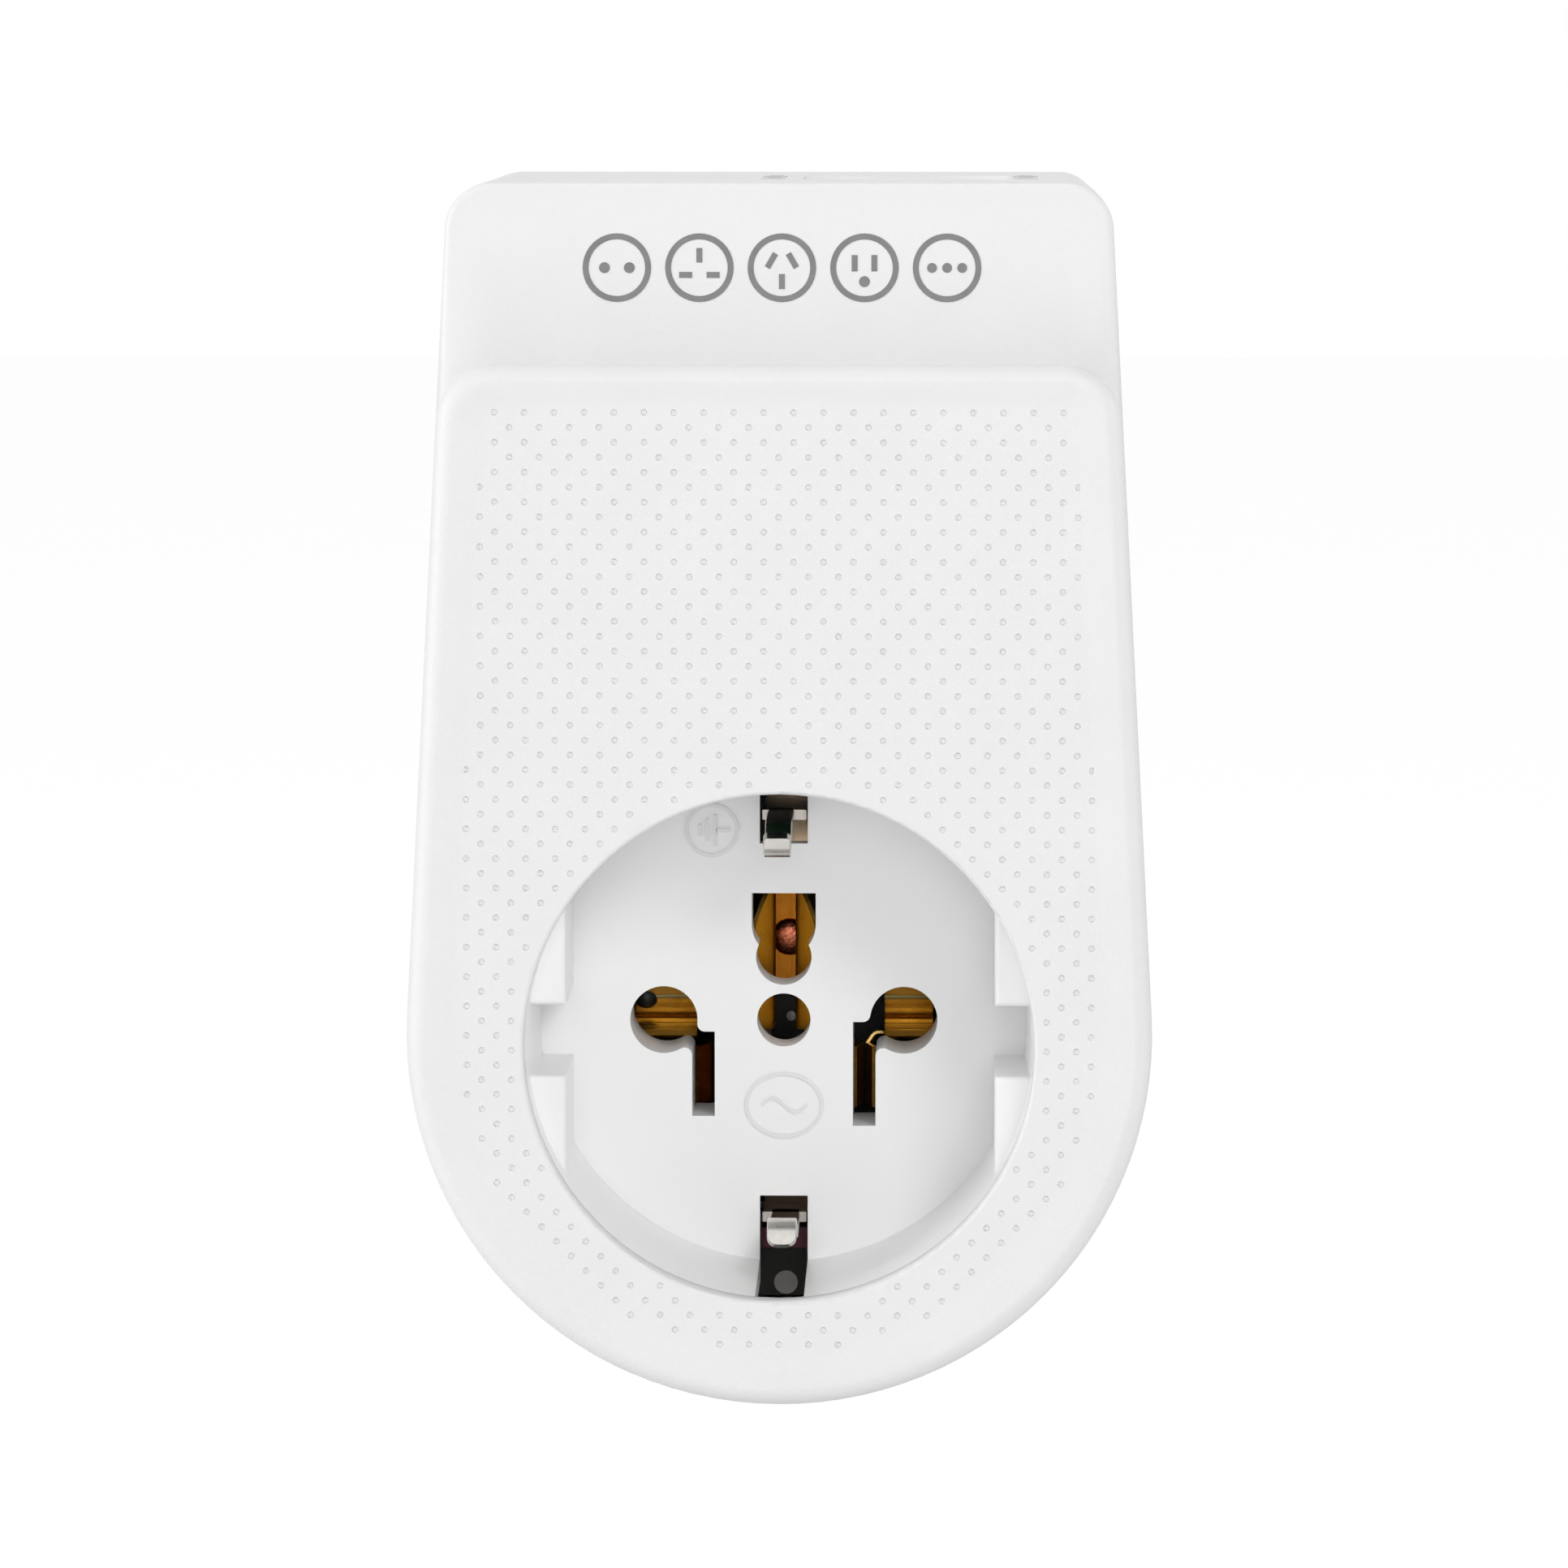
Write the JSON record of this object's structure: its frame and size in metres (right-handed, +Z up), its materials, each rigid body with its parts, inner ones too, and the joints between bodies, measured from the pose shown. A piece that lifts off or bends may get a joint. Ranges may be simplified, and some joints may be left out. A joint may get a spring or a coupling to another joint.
{
  "type": "usb travel adapter",
  "caption": "Plug-in travel adaptor: round earthed socket well with universal pin holes in front, USB ports in the top face and flat wall plug pins behind.",
  "frame": {"origin": "centre of the wall plug on the rear face", "axes": "+X to the right seen from the front, +Y out of the rear face along the plug pins, +Z up"},
  "size_m": [0.0574, 0.064, 0.0943],
  "materials": {
    "cover_white": "fine moulded texture",
    "housing_white": "fine moulded texture",
    "cup_white": "smooth moulded",
    "carrier_black": "plain moulded",
    "contact_brass": "stamped strip",
    "strap_brass": "stamped strip, dulled",
    "rivet_copper": "copper",
    "clip_nickel": "nickel plated strip",
    "pin_nickel": "nickel plated",
    "sleeve_black": "plain moulded",
    "port_steel": "drawn and plated",
    "port_plastic": "plain moulded",
    "board_green": "solder mask",
    "ferrite_grey": "sintered ferrite",
    "winding_tape": "yellow tape",
    "can_sleeve": "shrunk sleeve on an aluminium can",
    "chip_black": "moulded package",
    "fuse_body": "lacquered",
    "disc_blue": "dipped coating",
    "wire_brown": "insulation",
    "wire_blue": "insulation",
    "screw_steel": "zinc plated"
  },
  "bodies": {
    "root": {"front_cover": "cover_white", "rear_housing": "housing_white", "socket_cup": "cup_white", "contact_carrier": "carrier_black", "live_contact": "contact_brass", "neutral_contact": "contact_brass", "earth_contact": "contact_brass", "earth_strap": "strap_brass", "earth_rivet": "rivet_copper", "earth_clip_top": "clip_nickel", "earth_clip_bottom": "clip_nickel", "plug_pin_live": "pin_nickel", "plug_pin_neutral": "pin_nickel", "plug_pin_earth": "pin_nickel", "pin_sleeve_live": "sleeve_black", "pin_sleeve_neutral": "sleeve_black", "usb_a_shell": "port_steel", "usb_c_shell": "port_steel", "usb_a_tongue": "port_plastic", "usb_c_tongue": "port_plastic", "charger_board": "board_green", "transformer_core": "ferrite_grey", "transformer_winding": "winding_tape", "input_capacitor": "can_sleeve", "output_capacitor": "can_sleeve", "bridge_rectifier": "chip_black", "controller_chip": "chip_black", "fuse": "fuse_body", "safety_capacitor": "disc_blue", "inductor": "ferrite_grey", "live_wire": "wire_brown", "neutral_wire": "wire_blue", "housing_screws": "screw_steel"}
  },
  "joints": []
}
